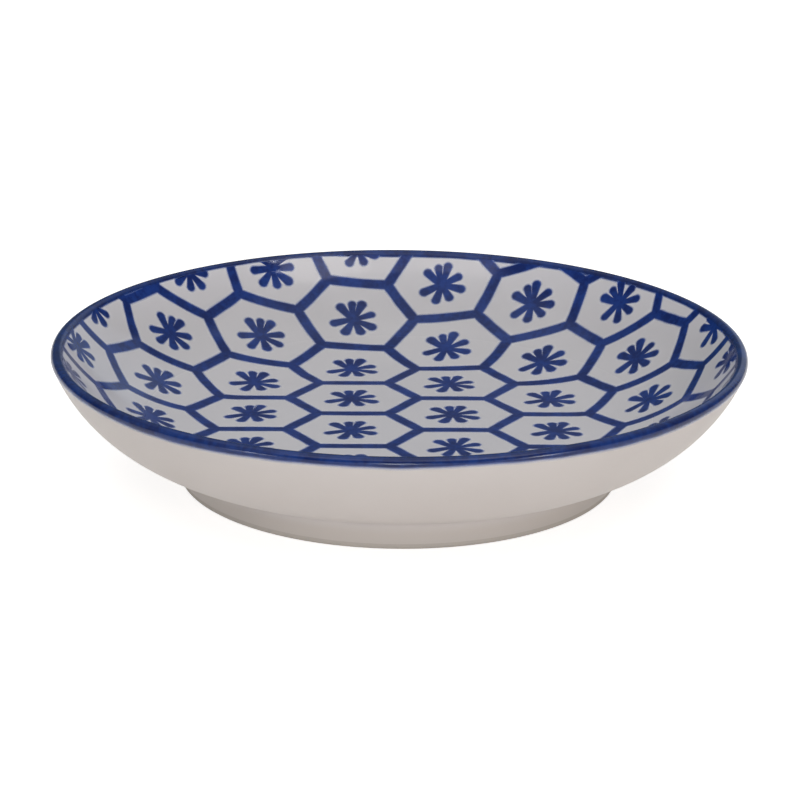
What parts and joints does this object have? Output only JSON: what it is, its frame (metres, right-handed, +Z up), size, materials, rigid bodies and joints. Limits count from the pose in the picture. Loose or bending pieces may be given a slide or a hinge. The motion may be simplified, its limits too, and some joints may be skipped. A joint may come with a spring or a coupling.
{
  "type": "soy sauce dish",
  "caption": "Shallow round porcelain dish on a foot ring, glazed white, with a blue hexagon and flower print inside and a blue rim, for dipping sauce.",
  "frame": {"origin": "middle of the ring that the dish stands on, at table height", "axes": "+Z up along the axis of the dish; +X to the right and +Y away from the viewer of the picture, so the level sides of the hexagons run along X"},
  "size_m": [0.095, 0.095, 0.0186],
  "materials": {
    "bare_porcelain": "unglazed fired clay, matt",
    "white_glaze": "glossy white glaze with a faint warm grey tone",
    "cobalt_band": "hand-painted cobalt blue, glossy",
    "cobalt_print": "printed cobalt blue, glossy"
  },
  "bodies": {
    "root": {"porcelain_body": "bare_porcelain", "outer_glaze": "white_glaze", "inner_glaze": "white_glaze", "base_glaze": "white_glaze", "rim_band": "cobalt_band", "hexagon_lattice": "cobalt_print", "flower_motifs": "cobalt_print"}
  },
  "joints": []
}
